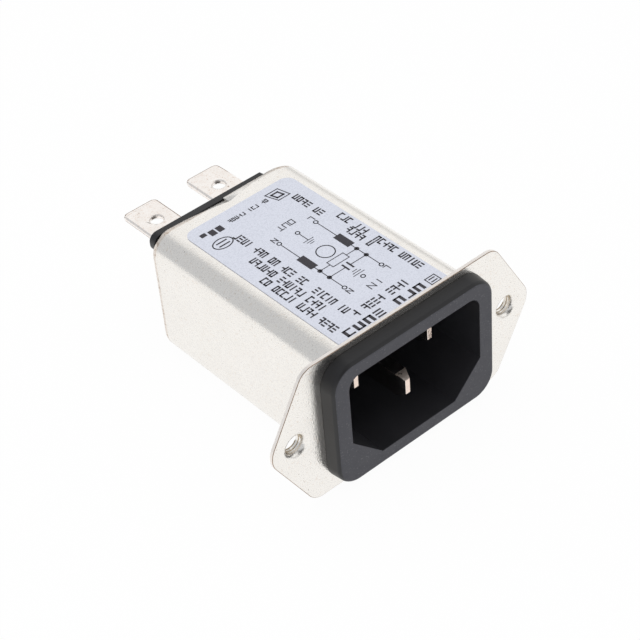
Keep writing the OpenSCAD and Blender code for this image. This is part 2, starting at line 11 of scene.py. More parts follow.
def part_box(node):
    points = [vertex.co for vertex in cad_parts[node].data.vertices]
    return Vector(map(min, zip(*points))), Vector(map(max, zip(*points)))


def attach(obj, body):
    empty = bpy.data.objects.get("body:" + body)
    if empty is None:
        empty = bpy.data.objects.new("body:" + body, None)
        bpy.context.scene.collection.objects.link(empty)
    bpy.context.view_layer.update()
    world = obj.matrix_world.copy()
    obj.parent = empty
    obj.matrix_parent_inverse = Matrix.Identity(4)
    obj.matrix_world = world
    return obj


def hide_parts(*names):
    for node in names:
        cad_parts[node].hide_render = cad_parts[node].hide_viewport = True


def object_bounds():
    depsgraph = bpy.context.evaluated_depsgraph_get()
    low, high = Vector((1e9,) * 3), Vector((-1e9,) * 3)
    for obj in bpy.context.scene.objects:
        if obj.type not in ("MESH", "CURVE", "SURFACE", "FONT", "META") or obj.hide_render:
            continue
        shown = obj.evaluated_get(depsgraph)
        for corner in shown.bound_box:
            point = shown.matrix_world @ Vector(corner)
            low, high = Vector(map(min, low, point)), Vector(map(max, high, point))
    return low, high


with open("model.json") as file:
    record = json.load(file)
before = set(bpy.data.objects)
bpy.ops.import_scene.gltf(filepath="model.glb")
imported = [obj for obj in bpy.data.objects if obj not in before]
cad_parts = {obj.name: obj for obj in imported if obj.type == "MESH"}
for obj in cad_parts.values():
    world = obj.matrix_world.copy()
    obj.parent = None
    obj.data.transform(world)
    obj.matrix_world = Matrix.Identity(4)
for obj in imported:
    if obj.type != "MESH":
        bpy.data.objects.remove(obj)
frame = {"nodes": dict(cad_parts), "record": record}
cad_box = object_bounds()

MM = 0.001
NODES = frame["nodes"]
SLOTS = {part["node"]: part["material_slot"] for part in frame["record"]["subparts"]}

# Sizes and places of the CAD pieces, in mm.
SOCKET_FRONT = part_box("inlet_body")[0].y / MM
FLANGE_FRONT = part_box("housing_can")[0].y / MM
FLANGE_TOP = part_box("housing_can")[1].z / MM
CAN_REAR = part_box("housing_can")[1].y / MM
PLATE_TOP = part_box("rear_plate")[1].z / MM
TAB_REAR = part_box("line_tab")[1].y / MM
SCREW_SPACING = 40.0
CAVITY_W, CAVITY_H = 24.4, 16.6
TAB_SPACING = 6.08
TAB_HOLE = TAB_REAR - 4.65


# ---------------------------------------------------------------- small helpers


def linear(hex_colour):
    """An sRGB hex colour as linear RGBA."""
    parts = [int(hex_colour[i : i + 2], 16) / 255 for i in (0, 2, 4)]
    return [c / 12.92 if c <= 0.04045 else ((c + 0.055) / 1.055) ** 2.4 for c in parts] + [1.0]


def per(size_mm):
    """The texture scale at which one cell of a pattern has this size."""
    return 1 / (size_mm * MM)


def add(tree, kind, inputs=None, **settings):
    """Adds a node with its settings and links.

    An input is a plain value, a socket, or a node, which gives its first output.
    """
    made = tree.nodes.new(kind)
    for key, value in settings.items():
        setattr(made, key, value)
    for key, value in (inputs or {}).items():
        if isinstance(value, bpy.types.Node):
            value = value.outputs[0]
        if isinstance(value, bpy.types.NodeSocket):
            tree.links.new(value, made.inputs[key])
        else:
            made.inputs[key].default_value = value
    return made


def blank_material(name):
    """An empty node material."""
    material = bpy.data.materials.new(name)
    material.use_nodes = True
    material.node_tree.nodes.clear()
    return material


def placed(name, data):
    """A new object in the scene."""
    made = bpy.data.objects.new(name, data)
    bpy.context.scene.collection.objects.link(made)
    return made


def settle(piece, name):
    """Turns a piece's modifiers into its plain mesh."""
    shape = bpy.data.meshes.new_from_object(piece.evaluated_get(bpy.context.evaluated_depsgraph_get()))
    piece.modifiers.clear()
    piece.data = shape
    shape.name = name


# ---------------------------------------------------------------- camera, floor, light

AIM = Vector((-5.36, 10.62, 6.55)) * MM
DISTANCE = 253.7 * MM
AZIMUTH, ELEVATION, ROLL = -37.98, 40.73, -5.18
LENS = 102.7


def place_camera():
    """Three-quarter view from the socket side, from the left and above."""
    around, above, roll = (math.radians(angle) for angle in (AZIMUTH, ELEVATION, ROLL))
    level_share = math.cos(above)
    back = Vector((math.sin(around) * level_share, -math.cos(around) * level_share, math.sin(above)))
    level = (-back).cross(Vector((0, 0, 1))).normalized()
    upright = level.cross(-back)
    right = math.cos(roll) * level + math.sin(roll) * upright
    up = -math.sin(roll) * level + math.cos(roll) * upright
    camera = placed("camera", bpy.data.cameras.new("camera"))
    camera.data.lens, camera.data.sensor_width = LENS, 36.0
    camera.data.clip_start, camera.data.clip_end = 0.01, 10.0
    turn = Matrix((right, up, back)).transposed().to_4x4()
    camera.matrix_world = Matrix.Translation(AIM + DISTANCE * back) @ turn
    bpy.context.scene.camera = camera


# Fields of the room: the direction of each, the cosines from it at which the field starts and is full, and
# the light before and in it. For the left wall, that is the share of its own grey.
ROOM = {
    "walls above the horizon": ((0, 0, 1), 0.05, 0.4, 0.62, 1.0),
    "ceiling": ((0, 0, 1), 0.72, 0.9, 1.0, 0.5),
    "dark behind the camera": ((-0.35, -0.85, 0.38), 0.72, 0.9, 1.0, 0.15),
    "left wall": ((-0.98, 0.2, 0), 0.03, 0.27, 0.0, 1.0),
}


def light_room():
    """A pale studio: bright behind to the right, a cooler grey to the left, and dark around the camera."""
    world = bpy.data.worlds.new("studio")
    bpy.context.scene.world = world
    world.use_nodes = True
    tree = world.node_tree
    tree.nodes.clear()
    direction = add(tree, "ShaderNodeTexCoord").outputs["Generated"]
    fields = []
    for towards, start, full, before, inside in ROOM.values():
        facing = add(tree, "ShaderNodeVectorMath", {0: direction, 1: towards}, operation="DOT_PRODUCT")
        stops = {"From Min": start, "From Max": full, "To Min": before, "To Max": inside}
        stops["Value"] = facing.outputs["Value"]
        fields.append(add(tree, "ShaderNodeMapRange", stops, interpolation_type="SMOOTHSTEP"))
    walls, ceiling, dark, left = fields
    light = add(tree, "ShaderNodeMath", {0: ceiling, 1: walls}, operation="MULTIPLY")
    light = add(tree, "ShaderNodeMath", {0: light, 1: dark}, operation="MULTIPLY")
    colour = add(tree, "ShaderNodeMix", {0: left, 6: light, 7: linear("CDCFD2")}, data_type="RGBA").outputs[2]
    studio = add(tree, "ShaderNodeBackground", {"Color": colour, "Strength": 1.0})
    white = add(tree, "ShaderNodeBackground", {"Color": (1, 1, 1, 1), "Strength": 1.0})
    rays = add(tree, "ShaderNodeLightPath").outputs
    seen = add(tree, "ShaderNodeMixShader", {0: rays["Is Camera Ray"], 1: studio, 2: white})
    add(tree, "ShaderNodeOutputWorld", {"Surface": seen})


def lay_floor(height, half=3.0, white_share=0.965):
    """A pale seamless floor that shows white, also in the metal, and still takes the object's shadow."""
    material = blank_material("seamless paper floor")
    material.cycles.emission_sampling = "NONE"
    tree = material.node_tree
    paper = add(tree, "ShaderNodeBsdfDiffuse", {"Color": linear("F4F4F4")})
    glow = add(tree, "ShaderNodeEmission", {"Color": (1, 1, 1, 1), "Strength": 1.0})
    rays = add(tree, "ShaderNodeLightPath").outputs
    seen = {0: rays["Is Camera Ray"], 1: rays["Is Glossy Ray"]}
    shown = add(tree, "ShaderNodeMath", seen, operation="MAXIMUM")
    shown = add(tree, "ShaderNodeMath", {0: shown, 1: rays["Is Transmission Ray"]}, operation="MAXIMUM")
    share = add(tree, "ShaderNodeMath", {0: shown, 1: white_share}, operation="MULTIPLY")
    both = add(tree, "ShaderNodeMixShader", {0: share, 1: paper, 2: glow})
    add(tree, "ShaderNodeOutputMaterial", {"Surface": both})
    mesh = bpy.data.meshes.new("floor")
    corners = [(-half, -half, height), (half, -half, height), (half, half, height), (-half, half, height)]
    mesh.from_pydata(corners, [], [(0, 1, 2, 3)])
    mesh.materials.append(material)
    placed("floor", mesh)


def hang_lamp(name, where_mm, size_mm, watts):
    """A large soft lamp that faces the part and isn't mirrored in its metal."""
    lamp = placed(name, bpy.data.lights.new(name, "AREA"))
    lamp.data.shape, lamp.data.size, lamp.data.energy = "SQUARE", size_mm * MM, watts
    lamp.visible_glossy = False
    where = Vector(where_mm) * MM
    turn = (AIM - where).to_track_quat("-Z", "Y").to_matrix().to_4x4()
    lamp.matrix_world = Matrix.Translation(where) @ turn


# ---------------------------------------------------------------- finishes


def bumped(tree, place, grains):
    """Chains bumps of (size in mm, height in mm, detail), from the coarsest to the finest."""
    normal = None
    for size, height, detail in grains:
        noise = add(tree, "ShaderNodeTexNoise", {"Vector": place, "Scale": per(size), "Detail": detail})
        under = {"Normal": normal} if normal else {}
        normal = add(tree, "ShaderNodeBump", {"Height": noise, "Distance": height * MM} | under)
    return normal


def specked(tree, place, colour, speck, size_mm, share):
    """Puts small specks on a colour: the larger the share, the more of the surface they cover."""
    noise = add(tree, "ShaderNodeTexNoise", {"Vector": place, "Scale": per(size_mm), "Detail": 1.0})
    stops = {"Value": noise, "From Min": 0.74 - share, "From Max": 0.8 - share}
    spot = add(tree, "ShaderNodeMapRange", stops)
    return add(tree, "ShaderNodeMix", {0: spot, 6: colour, 7: linear(speck)}, data_type="RGBA").outputs[2]


def finish(name, colour, tint, roughness, grains, tint_mm=4.0, spread=0.04, specks=(), **sockets):
    """A surface whose colour drifts to tint, with an uneven roughness, bumps, and specks of other colours."""
    material = blank_material(name)
    tree = material.node_tree
    place = add(tree, "ShaderNodeTexCoord").outputs["Object"]
    drift = add(tree, "ShaderNodeTexNoise", {"Vector": place, "Scale": per(tint_mm), "Detail": 3.0})
    blend = {0: drift, 6: linear(colour), 7: linear(tint)}
    shade = add(tree, "ShaderNodeMix", blend, data_type="RGBA").outputs[2]
    for speck in specks:
        shade = specked(tree, place, shade, *speck)
    stops = {"Value": drift, "From Min": 0.3, "From Max": 0.7}
    stops |= {"To Min": roughness - spread, "To Max": roughness + spread}
    uneven = add(tree, "ShaderNodeMapRange", stops)
    surface = {"Base Color": shade, "Roughness": uneven, "Normal": bumped(tree, place, grains)}
    for socket, value in sockets.items():
        surface[socket.replace("_", " ")] = value
    shader = add(tree, "ShaderNodeBsdfPrincipled", surface)
    add(tree, "ShaderNodeOutputMaterial", {"Surface": shader})
    return material


# Tin-plated deep-drawn steel: pale warm metal, satin, with a fine orange-peel grain from drawing and a few
# dark pits.
plated_steel = finish(
    "tin-plated deep-drawn steel", "F8F5F0", "F2EEE8", 0.22,
    [(9.0, 0.03, 1.0), (0.4, 0.015, 2.0), (0.17, 0.02, 1.0)], tint_mm=5.0,
    specks=[("ECE9E5", 0.2, 0.2), ("EEE7DF", 0.45, 0.1), ("9C9188", 0.22, 0.02)], Metallic=1.0,
)
# The rolled rim: the same plate, painted a darker, patchy brownish grey as painted shade of the roll's curve.
rim_steel_painted_shade = finish(
    "plated steel with painted rim shade", "F3ECE5", "D6CABE", 0.3, [(0.6, 0.02, 2.0), (0.2, 0.01, 1.0)], tint_mm=1.2,
    specks=[("C8BAAD", 0.55, 0.2), ("A69789", 0.25, 0.08)], Metallic=1.0,
)
# Sheared steel edge: bright, faintly pink, and torn across its thickness.
sheared_edge = finish(
    "sheared steel edge", "FFFCF9", "FBF3EC", 0.6, [(0.25, 0.01, 2.0)], tint_mm=0.6, Metallic=1.0,
)
# Burr along a sheared outline: bare metal, gone brown. On the tabs the same dark brown is painted shade along
# their lower left, upper right and rear edges.
burr_brown_and_edge_shade = finish(
    "browned burr and painted edge shade", "CBB39F", "6F5D50", 0.5, [(0.25, 0.03, 2.0)], tint_mm=0.35, spread=0.08, Metallic=1.0,
)
# Cut screw thread: steel with the tap's dull brown tracks.
cut_thread = finish(
    "tapped steel thread", "D8C9B0", "A5947C", 0.35, [(0.3, 0.01, 2.0)], tint_mm=0.5, Metallic=1.0,
)
# Glass-filled nylon moulding: near-black, half matt, with a fine spark-eroded grain.
black_moulding = finish(
    "glass-filled nylon moulding", "0F0F12", "141417", 0.42, [(0.22, 0.004, 3.0)], tint_mm=5.0, spread=0.03,
)
# The moulding's inner walls: drawn smooth by the core, a shade greyer.
drawn_moulding = finish("core-drawn nylon wall", "28282B", "2F2F33", 0.38, [(0.4, 0.003, 2.0)], spread=0.03)
# The moulding's front face, coarser from the mould's spark-eroded plate, with pale flecks of glass fibre; its
# dark slate colour is painted light, lighter than the moulding's black sides.
eroded_face_painted_light = finish(
    "spark-eroded nylon face with painted light", "3C3C43", "44444B", 0.55, [(0.3, 0.012, 3.0)], tint_mm=1.2, spread=0.05,
    specks=[("5A5A60", 0.3, 0.1)],
)
# Tin-plated brass: dull, pinkish-white and finely mottled.
tinned_brass = finish(
    "tin-plated brass", "FFFCF9", "FAF2EB", 0.34, [(2.5, 0.01, 1.0), (0.25, 0.006, 2.0)], tint_mm=1.5,
    specks=[("F6EBE3", 0.3, 0.18), ("B5A99F", 0.3, 0.03)], Metallic=1.0,
)
# Nickel-plated brass pins: smooth and bright along their sides.
plated_pin = finish(
    "nickel-plated brass", "F2ECE6", "E6DED6", 0.12, [(1.5, 0.002, 1.0)], tint_mm=1.2, spread=0.03,
    Metallic=1.0,
)
# The pins' coined ends: the same plating, pinkish and left rough by the punch.
coined_pin = finish(
    "coined nickel-plated brass", "F8E6DA", "E4CFC1", 0.24, [(0.5, 0.03, 2.0)], tint_mm=0.6, Metallic=1.0,
)
# The pins' tapers: struck rough, so that they stay grey among the dark walls.
struck_pin = finish(
    "struck nickel-plated brass", "F0E4DC", "B5A79C", 0.55, [(0.5, 0.06, 2.0)], tint_mm=0.7,
    specks=[("5C524A", 0.5, 0.12)], Metallic=1.0,
)
# Polyester label film: cool pale grey, satin, faintly mottled by the glue under it.
label_film = finish(
    "polyester label film", "D9DCE7", "D5D8E3", 0.45, [(1.8, 0.004, 2.0)], tint_mm=3.0,
    specks=[("CFD2DD", 0.25, 0.22)], Specular_IOR_Level=0.3,
)
# Thermal-transfer ink: flat near-black, slightly broken.
label_ink = finish(
    "thermal-transfer ink", "38363A", "47454A", 0.6, [(0.2, 0.002, 2.0)], tint_mm=0.35,
    Specular_IOR_Level=0.2,
)
# Manganese-zinc ferrite: dark grey ceramic with a fine sintered grain.
ferrite = finish("sintered ferrite", "2E2F33", "3A3B40", 0.55, [(0.25, 0.01, 3.0)], tint_mm=0.8)
# Enamelled copper wire: copper under a clear amber varnish.
enamelled_copper = finish(
    "enamelled copper wire", "B4622F", "9A4E22", 0.3, [(0.5, 0.004, 1.0)], tint_mm=2.0, Metallic=1.0,
    Coat_Weight=0.8,
)
# White nylon divider: milky and slightly uneven.
white_plastic = finish("natural nylon", "E8E4D8", "DED9CB", 0.45, [(0.4, 0.004, 2.0)], tint_mm=3.0)
# Capacitor case: matt yellow flame-retardant box.
capacitor_case = finish("polybutylene box", "D8A32A", "CD9822", 0.42, [(0.3, 0.004, 2.0)])
# Resistor lacquer: pale blue dipped coating, glossy and a little lumpy.
resistor_coating = finish("resistor lacquer", "86A9B8", "7A9DAD", 0.3, [(0.6, 0.01, 1.0)], tint_mm=1.0)
# Tinned copper leads: soft grey-white wire with drawing marks.
tinned_copper = finish(
    "tinned copper wire", "DAD8D4", "C9C5BF", 0.35, [(0.3, 0.004, 2.0)], tint_mm=1.0, Metallic=1.0,
)

# The finish of each material slot.
FINISHES = {
    "plated_steel": plated_steel,
    "black_moulding": black_moulding,
    "tinned_brass": tinned_brass,
    "plated_brass": plated_pin,
    "label_film": label_film,
    "ferrite": ferrite,
    "enamelled_copper": enamelled_copper,
    "white_plastic": white_plastic,
    "capacitor_case": capacitor_case,
    "resistor_coating": resistor_coating,
    "tinned_copper": tinned_copper,
}


# ---------------------------------------------------------------- dressed copies of the outer pieces


def cleaned(node, shape_of, rounded_to):
    """A copy of a CAD mesh with its doubles merged, flat faces joined and sharp edges marked for rounding.

    Its shape is taken from the node shape_of. Edges further back than rounded_to, in mm, stay sharp.
    """
    mesh = NODES[shape_of].data.copy()
    mesh.transform(Matrix.Translation(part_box(node)[0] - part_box(shape_of)[0]))
    work = bmesh.new()
    work.from_mesh(mesh)
    bmesh.ops.remove_doubles(work, verts=work.verts, dist=0.001 * MM)
    bmesh.ops.dissolve_limit(work, angle_limit=math.radians(0.2), verts=work.verts, edges=work.edges)
    for face in work.faces:
        face.smooth = True
        face.material_index = 0
    weight = work.edges.layers.float.new("bevel_weight_edge")
    for edge in work.edges:
        back = max(vertex.co.y for vertex in edge.verts)
        edge[weight] = float(edge.calc_face_angle(0.0) > math.radians(28) and back < rounded_to * MM)
    work.to_mesh(mesh)
    work.free()
    if mesh.has_custom_normals:
        mesh.attributes.remove(mesh.attributes["custom_normal"])
    return mesh


def dressed(node, name, *others, edge_mm=0.08, pick=None, mend=None, rounded_to=100.0, shape_of=None):
    """A copy of a CAD piece that replaces it, with its sharp edges broken by a small round.

    pick says which material a face has, from its middle in mm and its outward direction: 0 for the finish of
    the piece's slot, 1 and up for the others. mend moves points of the mesh.
    """
    mesh = cleaned(node, shape_of or node, rounded_to)
    mesh.materials.clear()
    for material in (FINISHES[SLOTS[node]], *others):
        mesh.materials.append(material)
    piece = placed(name, mesh)
    bevel = piece.modifiers.new("edges", "BEVEL")
    bevel.width, bevel.segments = edge_mm * MM, 2
    bevel.limit_method = "WEIGHT"
    bevel.use_clamp_overlap = False
    bevel.harden_normals = True
    piece.modifiers.new("normals", "WEIGHTED_NORMAL").keep_sharp = True
    settle(piece, name)
    if mend:
        mend(piece.data)
    if pick:
        for face in piece.data.polygons:
            face.material_index = pick(face.center / MM, face.normal)
    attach(piece, "root")
    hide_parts(node)


def at_outline(middle):
    """Whether a place on the flange is at its cut outline, and not at the bend or at a screw hole."""
    from_screw = math.hypot(abs(middle.x) - SCREW_SPACING / 2, middle.z)
    return abs(middle.z) > FLANGE_TOP - 0.2 or abs(middle.x) > 17 and from_screw > 2.6


def steel_side(middle, out):
    """0 for plated faces, 1 for the flange's cut outline, 2 for the burr along its front, 3 for the rim, which
    carries painted shade.
    """
    rolled = middle.y > CAN_REAR - 3.8 and out.y > 0.03 and abs(middle.x) > 4.5
    on_flange_edge = FLANGE_FRONT - 0.05 < middle.y < 0.05 and abs(out.y) <= 0.97
    if rolled:
        return 3
    if not on_flange_edge or not at_outline(middle):
        return 0
    return 2 if middle.y < FLANGE_FRONT + 0.07 and out.y < -0.2 else 1


def moulding_side(middle, out):
    """0 for the moulding's smooth faces, 1 for its eroded front face, painted lighter as painted light, 2 for
    the walls of its cavity.
    """
    if middle.y < SOCKET_FRONT + 0.05 and out.y < -0.9:
        return 1
    in_cavity = abs(middle.x) < CAVITY_W / 2 and abs(middle.z) < CAVITY_H / 2 + 0.3
    inward = out.x * middle.x + out.z * middle.z < 0
    return 2 if in_cavity and (inward or out.y < -0.9) else 0


def pin_side(middle, out):
    """0 for a pin's smooth sides, 1 for its coined end, 2 for the tapers round it."""
    if middle.y > SOCKET_FRONT + 6.55 or out.y > -0.1 or out.x < -0.5:
        return 0
    return 1 if out.y < -0.85 else 2


def tab_side(middle, out):
    """0 for a tab's faces and hole, 1 for the rounds of its lower left, upper right and rear edge, painted
    dark as painted shade.
    """
    across = (middle.x + TAB_SPACING / 2) % TAB_SPACING - TAB_SPACING / 2
    if math.hypot(across, middle.y - TAB_HOLE) < 1.4:
        return 0
    return 1 if out.z < -0.25 and out.x < -0.25 or out.z > 0.25 and max(out.x, out.y) > 0.25 else 0


def trim_corner(mesh, cut=0.8):
    """Takes a little more, in mm, off the rear plate's cut corner."""
    for vertex in mesh.vertices:
        x, y, z = vertex.co / MM
        if y > CAN_REAR - 0.3 and x > 0 and x + z > 19.0:
            on_top = z > PLATE_TOP - 2.0
            vertex.co -= Vector((cut, 0, 0) if on_top else (0, 0, cut)) * MM


def press_lips(mesh, lift=0.32):
    """Closes the slit between the can's two top lips to a hairline and lifts the right-hand one, in mm."""
    bend = CAN_REAR - 2.0
    for vertex in mesh.vertices:
        x, y, z = vertex.co / MM
        if z < 8 or y < bend - 0.7:
            continue
        if x > 0 and y > bend:
            fade = min(max((11.0 - x) / 3.0, 0.0), 1.0)
            vertex.co.z += lift * ((y - bend) / 1.85) ** 2 * fade * MM
        if abs(x) < 0.26:
            vertex.co.x *= 0.12


def dress_parts():
    """The can, the mouldings, the tabs and the pins, each with its own edges and finishes."""
    steels = (sheared_edge, burr_brown_and_edge_shade, rim_steel_painted_shade)
    dressed("housing_can", "steel_can", *steels, pick=steel_side, mend=press_lips, rounded_to=30.0)
    dressed("inlet_body", "socket_moulding", eroded_face_painted_light, drawn_moulding, pick=moulding_side)
    dressed("rear_plate", "rear_cover", mend=trim_corner)
    for wire in ("line", "neutral", "earth"):
        tab, pin = wire + "_tab", wire + "_pin"
        # The three tabs are alike, so all of them have the line tab's shape.
        rounds = {"edge_mm": 0.28, "shape_of": "line_tab"}
        dressed(tab, wire + "_push_on_tab", burr_brown_and_edge_shade, pick=tab_side, **rounds)
        dressed(pin, wire + "_contact_pin", coined_pin, struck_pin, pick=pin_side)


# ---------------------------------------------------------------- the label's print

PRINT_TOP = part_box("label")[1].z + 0.02 * MM
PRINT_FOOT = PRINT_TOP - 0.03 * MM
PRINT_START = -0.15  # where the print's own zero lies along the can, in mm
HAIR, THIN, THICK = 0.11, 0.13, 0.16  # widths of strokes, in mm


class Pen:
    """Draws the print as thin closed slabs on the label. Places are (y, x) in mm: along the can, across it."""

    def __init__(self):
        self.work = bmesh.new()

    def slab(self, outline):
        """A slab with this outline."""
        low = [self.work.verts.new((x * MM, (y + PRINT_START) * MM, PRINT_FOOT)) for y, x in outline]
        high = [self.work.verts.new((x * MM, (y + PRINT_START) * MM, PRINT_TOP)) for y, x in outline]
        self.work.faces.new(low)
        self.work.faces.new(high)
        for i in range(len(low)):
            j = (i + 1) % len(low)
            self.work.faces.new((low[i], low[j], high[j], high[i]))

    def line(self, start, end, width=THIN):
        """A straight stroke with square ends."""
        a, b = Vector(start), Vector(end)
        along = (b - a).normalized() * width / 2
        side = Vector((-along.y, along.x))
        self.slab([a - along - side, b + along - side, b + along + side, a - along + side])

    def path(self, points, width=THIN):
        """Strokes from point to point."""
        for start, end in zip(points, points[1:]):
            self.line(start, end, width)

    def field(self, y0, y1, x0, x1):
        """A filled rectangle."""
        self.slab([(y0, x0), (y1, x0), (y1, x1), (y0, x1)])

    def disc(self, centre, radius, sides=20):
        """A filled circle."""
        turns = [2 * math.pi * i / sides for i in range(sides)]
        self.slab([(centre[0] + radius * math.cos(t), centre[1] + radius * math.sin(t)) for t in turns])

    def ring(self, centre, radius_y, radius_x, width=THIN, sides=32):
        """A circle or ellipse, drawn as short strokes."""
        turns = [2 * math.pi * i / sides for i in range(sides + 1)]
        points = [(centre[0] + radius_y * math.cos(t), centre[1] + radius_x * math.sin(t)) for t in turns]
        self.path(points, width)

    def letters(self, text, corner, height, width, pitch):
        """Plain capitals that read towards -X with their tops towards -Y, from the corner at their foot."""
        for place, letter in enumerate(text):
            for shape in LETTERS[letter]:
                points = [(corner[0] - height * v, corner[1] - place * pitch - width * u) for u, v in shape]
                self.path(points, 0.15)

    def keep(self, name):
        """The print as one piece."""
        bmesh.ops.recalc_face_normals(self.work, faces=self.work.faces)
        mesh = bpy.data.meshes.new(name)
        self.work.to_mesh(mesh)
        self.work.free()
        mesh.materials.append(label_ink)
        piece = placed(name, mesh)
        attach(piece, "root")


# Strokes of the terminals' capitals, across and up in a unit box.
LETTERS = {
    "I": [[(0.5, 0), (0.5, 1)]],
    "L": [[(0, 1), (0, 0), (1, 0)]],
    "N": [[(0, 0), (0, 1), (1, 0), (1, 1)]],
    "O": [[(0, 0), (1, 0), (1, 1), (0, 1), (0, 0)]],
    "T": [[(0.5, 0), (0.5, 1)], [(0, 1), (1, 1)]],
    "U": [[(0, 1), (0, 0), (1, 0), (1, 1)]],
}

# Where the circuit's rows lie across the label, and its parts along it.
NEUTRAL_ROW, EARTH_ROW, LINE_ROW = -1.6, 1.87, 5.35
IN_END, CAPACITOR, RESISTOR, CHOKE, OUT_END = 9.45, 12.6, 14.6, 17.3, 23.4


def draw_circuit():
    """The filter's circuit: two chokes on one core, a capacitor and a resistor across them, and earth."""
    pen = Pen()
    for row in (NEUTRAL_ROW, LINE_ROW):
        pen.ring((IN_END, row), 0.33, 0.33, 0.14, 16)
        pen.line((IN_END + 0.4, row), (15.8, row))
        pen.disc((CAPACITOR, row), 0.38)
        pen.disc((RESISTOR, row), 0.38)
        pen.field(15.75, 18.9, row - 0.67, row + 0.67)
        pen.line((18.9, row), (OUT_END - 0.4, row))
        pen.ring((OUT_END, row), 0.33, 0.33, 0.14, 16)
    pen.line((CAPACITOR, NEUTRAL_ROW), (CAPACITOR, 1.35))
    pen.line((CAPACITOR, 2.4), (CAPACITOR, LINE_ROW))
    pen.field(CAPACITOR - 0.8, CAPACITOR + 0.8, 1.3, 1.6)
    pen.field(CAPACITOR - 0.8, CAPACITOR + 0.8, 2.15, 2.45)
    pen.line((RESISTOR, NEUTRAL_ROW), (RESISTOR, 0.3))
    pen.line((RESISTOR, 3.35), (RESISTOR, LINE_ROW))
    pen.path([(13.95, 0.3), (15.3, 0.3), (15.3, 3.35), (13.95, 3.35), (13.95, 0.3)])
    pen.ring((CHOKE, 1.85), 1.38, 1.38, THICK)
    pen.ring((IN_END, EARTH_ROW), 0.33, 0.33, 0.14, 16)
    pen.line((21.1, EARTH_ROW), (OUT_END - 0.4, EARTH_ROW))
    pen.ring((OUT_END, EARTH_ROW), 0.33, 0.33, 0.14, 16)
    for y, half in ((10.3, 1.0), (10.75, 0.7), (11.2, 0.38), (21.05, 0.9), (20.6, 0.6), (20.2, 0.32)):
        pen.line((y, EARTH_ROW - half), (y, EARTH_ROW + half), HAIR)
    for y in (8.85, 24.9):
        pen.letters("N", (y, NEUTRAL_ROW + 0.35), 0.9, 0.7, 1.0)
        pen.letters("L", (y, LINE_ROW + 0.35), 0.9, 0.6, 1.0)
    pen.letters("IN", (7.55, 3.2), 1.05, 0.95, 1.45)
    pen.letters("OUT", (26.5, 3.3), 1.0, 0.75, 1.05)
    pen.keep("circuit_print")


def draw_signs():
    """Framed fields and rings beside the rows of marks."""
    pen = Pen()
    pen.path([(1.2, 7.2), (2.7, 7.2), (2.7, 8.95), (1.2, 8.95), (1.2, 7.2)], THICK)
    pen.path([(1.65, 7.6), (1.65, 8.55)], 0.2)
    pen.path([(2.25, 7.6), (2.25, 8.55)], 0.2)
    pen.ring((29.4, -7.1), 1.12, 1.65, 0.17)
    pen.path([(29.0, -7.95), (29.0, -6.25)], 0.24)
    pen.path([(29.75, -7.95), (29.75, -6.25)], 0.24)
    pen.field(31.7, 33.0, -7.15, -6.1)
    pen.field(31.7, 33.0, -5.8, -4.75)
    pen.field(32.4, 33.2, -8.5, -7.5)
    pen.path([(31.3, 5.0), (33.6, 4.3), (33.6, 6.7), (31.3, 7.2), (31.3, 5.0)], 0.17)
    pen.path([(31.9, 5.3), (33.0, 5.0), (33.0, 6.2), (31.9, 6.5), (31.9, 5.3)], 0.3)
    pen.keep("signs_print")


# Rows of plain marks in place of text: (y, x) of the start, direction, mark height, pitch, words by length.
MARK_ROWS = [
    ((3.5, -8.4), "along", 1.4, 0.868, (4, 4, 5, 2)),
    ((8.0, -6.6), "along", 1.4, 0.864, (4, 6, 6)),
    ((5.3, -4.7), "along", 1.4, 0.864, (2, 5, 0, 2, 3, 2, 3, 4)),
    ((5.0, 8.9), "along", 1.35, 0.87, (5, 5, 0, 3, 3)),
    ((13.7, 7.5), "along", 1.3, 0.9, (1, 4)),
    ((24.1, 7.35), "along", 1.3, 0.92, (2, 4)),
    ((4.3, 5.4), "across", 1.45, 0.91, (4, 4, 1)),
    ((2.05, 6.5), "across", 1.45, 1.86, (3, 4)),
    ((32.6, 4.0), "across", 0.8, 0.62, (2, 3, 5)),
]


def mark_places():
    """A bare point for each mark, with the size it has and the way it is turned."""
    places, sizes, turns = [], [], []
    for (y, x), way, height, pitch, words in MARK_ROWS:
        place = 0.5
        for count in words:
            for _ in range(count):
                along, across = (place * pitch, 0.0) if way == "along" else (0.0, -place * pitch)
                spot = ((x + across) * MM, (y + PRINT_START + along) * MM, (PRINT_TOP + PRINT_FOOT) / 2)
                places.append(spot)
                sizes += [0.8 * pitch * MM, height * MM, PRINT_TOP - PRINT_FOOT]
                turns += [0.0, 0.0, math.pi / 2 if way == "along" else math.pi]
                place += 1
            place += 1
    mesh = bpy.data.meshes.new("mark places")
    mesh.from_pydata(places, [], [])
    mesh.attributes.new("mark size", "FLOAT_VECTOR", "POINT").data.foreach_set("vector", sizes)
    mesh.attributes.new("mark turn", "FLOAT_VECTOR", "POINT").data.foreach_set("vector", turns)
    return mesh


# ---------------------------------------------------------------- marks, threads and windings


def new_tree(name, sizes, whole=()):
    """An empty Geometry Nodes tree, and its inputs: the mesh it starts from, sizes, and whole numbers."""
    tree = bpy.data.node_groups.new(name, "GeometryNodeTree")
    tree.interface.new_socket("Geometry", in_out="OUTPUT", socket_type="NodeSocketGeometry")
    tree.interface.new_socket("Start mesh", in_out="INPUT", socket_type="NodeSocketGeometry")
    for size in sizes:
        tree.interface.new_socket(size, in_out="INPUT", socket_type="NodeSocketFloat")
    for number in whole:
        tree.interface.new_socket(number, in_out="INPUT", socket_type="NodeSocketInt")
    return tree, tree.nodes.new("NodeGroupInput").outputs


def close_tree(tree, geometry, material):
    """Ends a tree: instances made real, and the material set."""
    real = add(tree, "GeometryNodeRealizeInstances", {"Geometry": geometry})
    inked = add(tree, "GeometryNodeSetMaterial", {"Geometry": real, "Material": material})
    add(tree, "NodeGroupOutput", {"Geometry": inked})
    return tree


